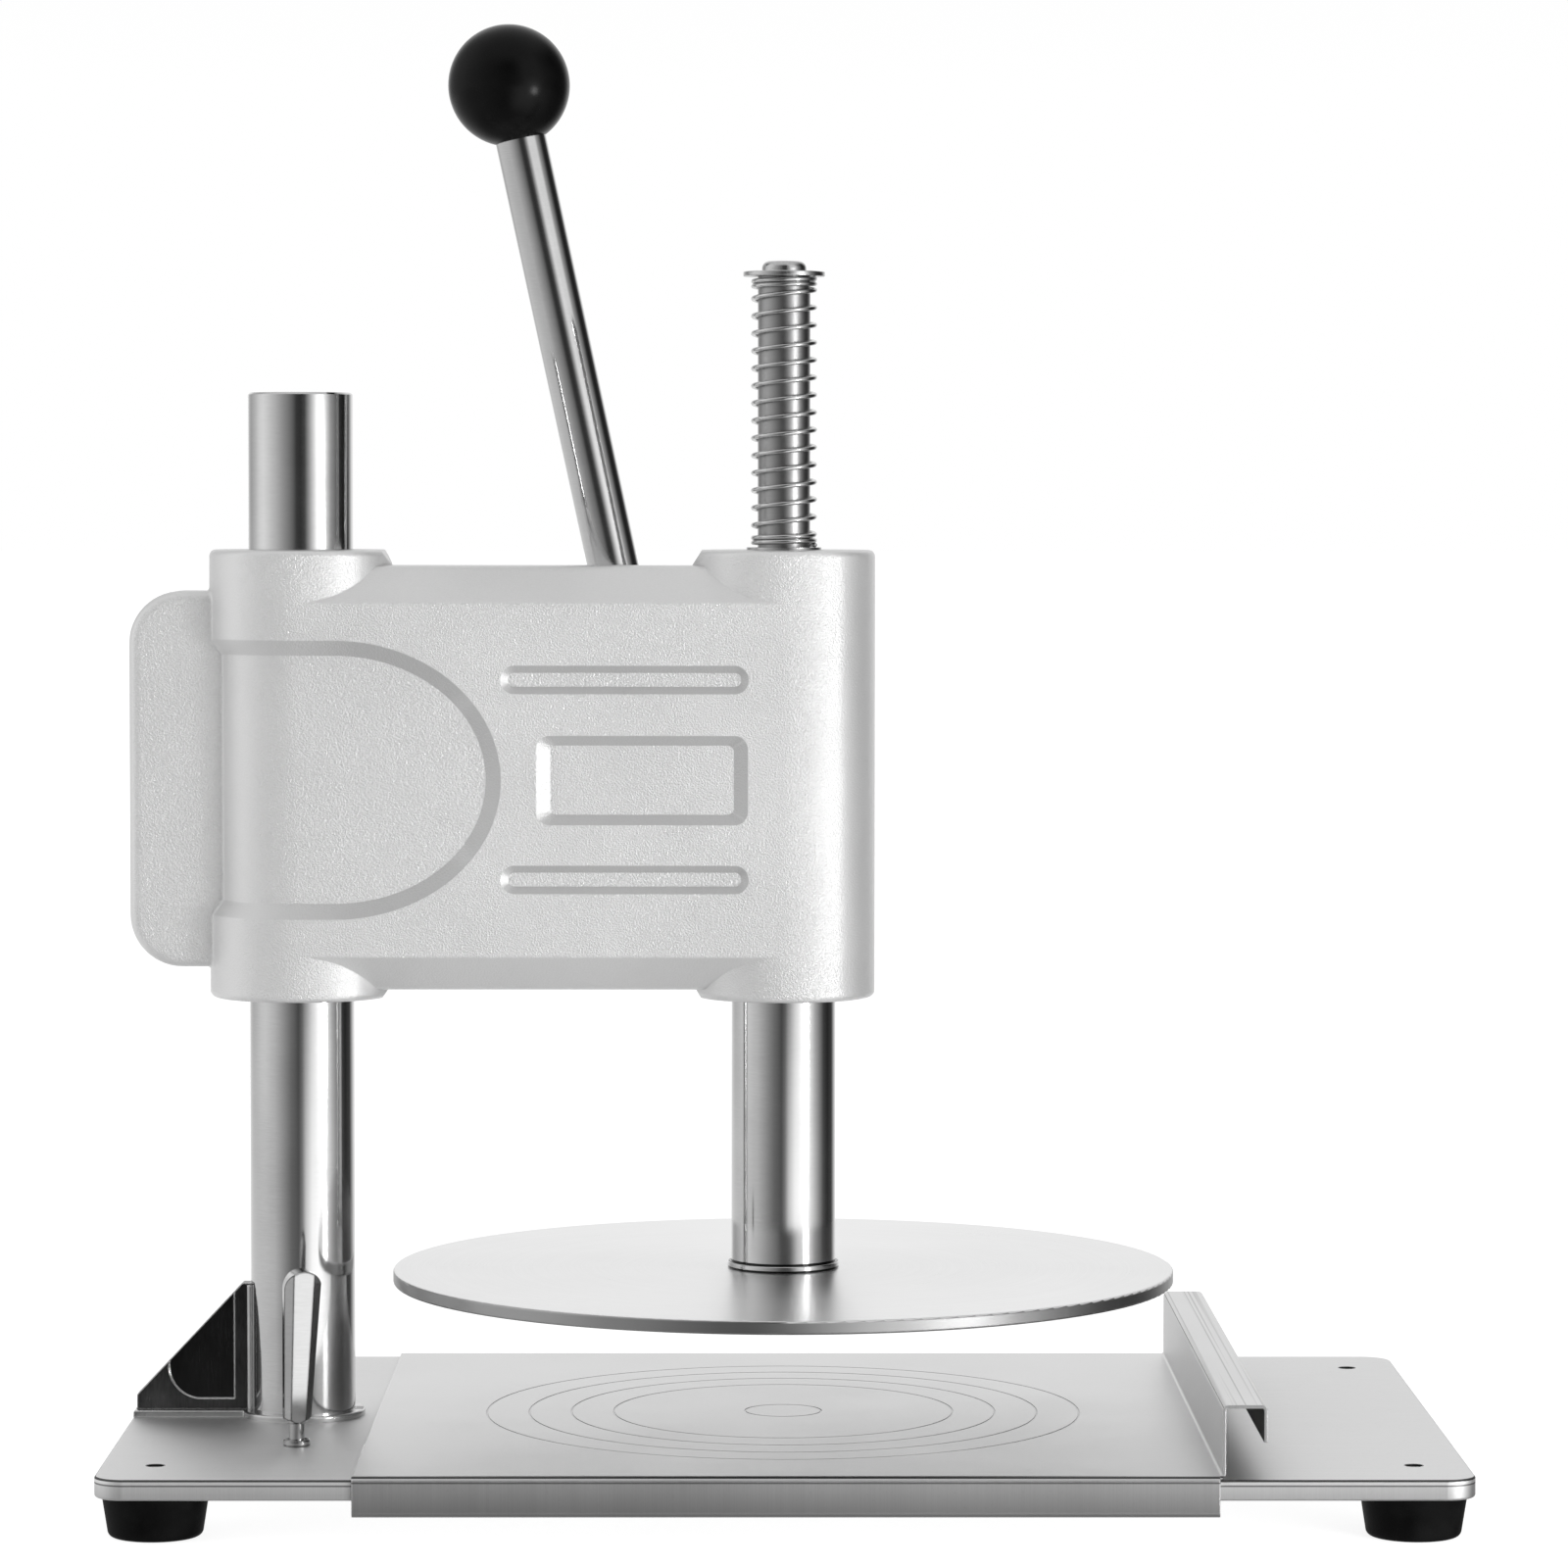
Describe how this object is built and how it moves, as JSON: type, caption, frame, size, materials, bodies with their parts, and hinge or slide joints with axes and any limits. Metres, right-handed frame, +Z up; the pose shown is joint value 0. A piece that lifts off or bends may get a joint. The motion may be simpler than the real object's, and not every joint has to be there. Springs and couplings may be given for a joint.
{
  "type": "manual dough press",
  "caption": "Bench press with a round plate: a side lever drives a sprung ram by rack and pinion, above a pull-out tray on a flat base.",
  "frame": {"origin": "on the table, in the middle of the base's footprint, straight under the ram's axis", "axes": "+Z up, +X from the post towards the tray's grip and the user, +Y towards the lever's side"},
  "size_m": [0.4, 0.2426, 0.4507],
  "materials": {
    "base_steel": "satin, brushed along the long side",
    "tray_steel": "satin, fine brushing",
    "plate_steel": "satin",
    "polished_steel": "polished",
    "bracket_steel": "polished",
    "lock_chrome": "polished",
    "cast_aluminium": "fine blasted casting, silver paint",
    "fastener_steel": "bright zinc",
    "spring_steel": "bright drawn wire",
    "machined_steel": "turned",
    "bronze": "turned",
    "black_rubber": "matte",
    "black_gloss": "gloss"
  },
  "bodies": {
    "base": {"base_plate": "base_steel", "foot_front_left": "black_rubber", "foot_front_right": "black_rubber", "foot_back_left": "black_rubber", "foot_back_right": "black_rubber", "foot_screws": "fastener_steel", "post": "polished_steel", "post_bolt": "fastener_steel", "post_washer": "fastener_steel", "post_foot_plate": "bracket_steel", "gusset_plate": "bracket_steel", "gusset_welds": "bracket_steel", "lock_nut": "fastener_steel"},
    "lock_lever": {"lock_handle": "lock_chrome", "lock_stud": "lock_chrome", "lock_washer": "lock_chrome"},
    "tray": {"tray": "tray_steel"},
    "head": {"head_housing": "cast_aluminium", "head_cover": "cast_aluminium", "cover_screws": "fastener_steel", "clamp_screws": "fastener_steel", "clamp_washers": "fastener_steel", "ram_bush_lower": "bronze", "ram_bush_upper": "bronze", "shaft_bush_front": "bronze", "shaft_bush_back": "bronze", "spring_seat": "fastener_steel", "return_spring": "spring_steel"},
    "ram": {"ram_shaft": "polished_steel", "spring_rod": "polished_steel", "press_plate": "plate_steel", "plate_screw": "fastener_steel", "plate_ring": "polished_steel", "spring_washer": "fastener_steel", "cap_screw": "fastener_steel"},
    "lever": {"pinion_gear": "machined_steel", "pinion_shaft": "machined_steel", "shaft_keys": "machined_steel", "thrust_washers": "bronze", "lever_hub": "machined_steel", "hub_washer": "fastener_steel", "hub_screw": "fastener_steel", "lever_rod": "polished_steel", "ball_knob": "black_gloss", "knob_insert": "bronze"}
  },
  "joints": [
    {"name": "tray_slide", "type": "slide", "parent": "base", "child": "tray", "axis": [1, 0, 0], "range_m": [0, 0.2]},
    {"name": "lock_turn", "type": "hinge", "parent": "base", "child": "lock_lever", "pos_m": [-0.1455, -0.0589, 0.0205], "axis": [0, 0, 1], "range_deg": [0, 180]},
    {"name": "head_height", "type": "slide", "parent": "base", "child": "head", "axis": [0, 0, 1], "range_m": [0, 0.045]},
    {"name": "lever_swing", "type": "hinge", "parent": "head", "child": "lever", "pos_m": [-0.0395, 0.042, 0.2177], "axis": [0, 1, 0], "range_deg": [0, 81.25]},
    {"name": "press_slide", "type": "slide", "parent": "head", "child": "ram", "axis": [0, 0, -1], "range_m": [0, 0.039], "stiffness_N_per_m": 530, "springref_m": -0.06, "deforming": ["return_spring"]}
  ],
  "couplings": [
    {"joint": "press_slide", "follows": "lever_swing", "m_per_rad": 0.0275}
  ]
}
